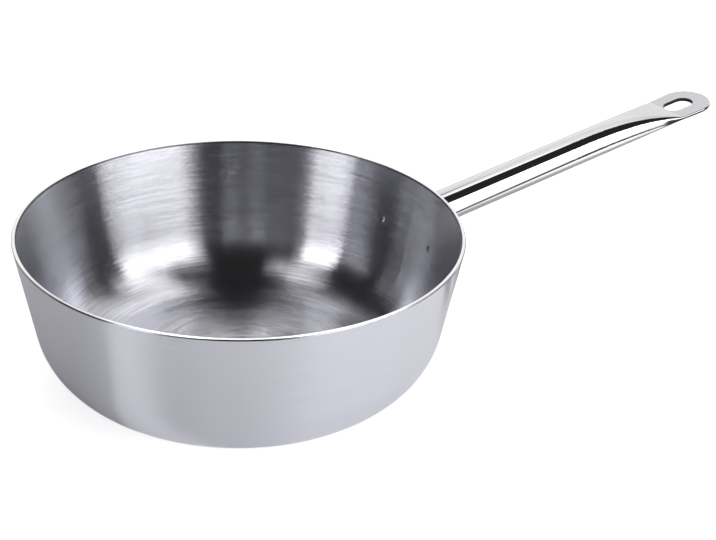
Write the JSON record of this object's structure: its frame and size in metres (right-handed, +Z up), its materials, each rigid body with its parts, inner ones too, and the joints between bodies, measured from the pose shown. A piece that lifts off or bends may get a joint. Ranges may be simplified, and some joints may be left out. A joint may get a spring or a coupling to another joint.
{
  "type": "saucier pan",
  "caption": "Conical three-ply saucier pan with a flat base, a rounded corner, a flared brushed wall and a long round tube handle pressed flat at its end round a hanging hole.",
  "frame": {"origin": "centre of the base's flat underside, on the surface that the pan stands on", "axes": "+Z up, square to the base; +X from the pan's centre towards the handle's tip, seen from above"},
  "size_m": [0.4671, 0.2396, 0.0994],
  "materials": {
    "satin_steel": "satin, brushed round the wall",
    "aluminium": "plain sheet, its edge ground at the rim",
    "brushed_steel": "brushed round the wall and the floor",
    "polished_steel": "mirror polished stainless steel",
    "saddle_steel": "satin pressed sheet",
    "weld_steel": "brushed weld metal"
  },
  "bodies": {
    "root": {"outer_skin": "satin_steel", "aluminium_core": "aluminium", "inner_skin": "brushed_steel", "handle_tube": "polished_steel", "handle_saddle": "saddle_steel", "handle_weld": "weld_steel", "spot_weld_left": "weld_steel", "spot_weld_right": "weld_steel"}
  },
  "joints": []
}
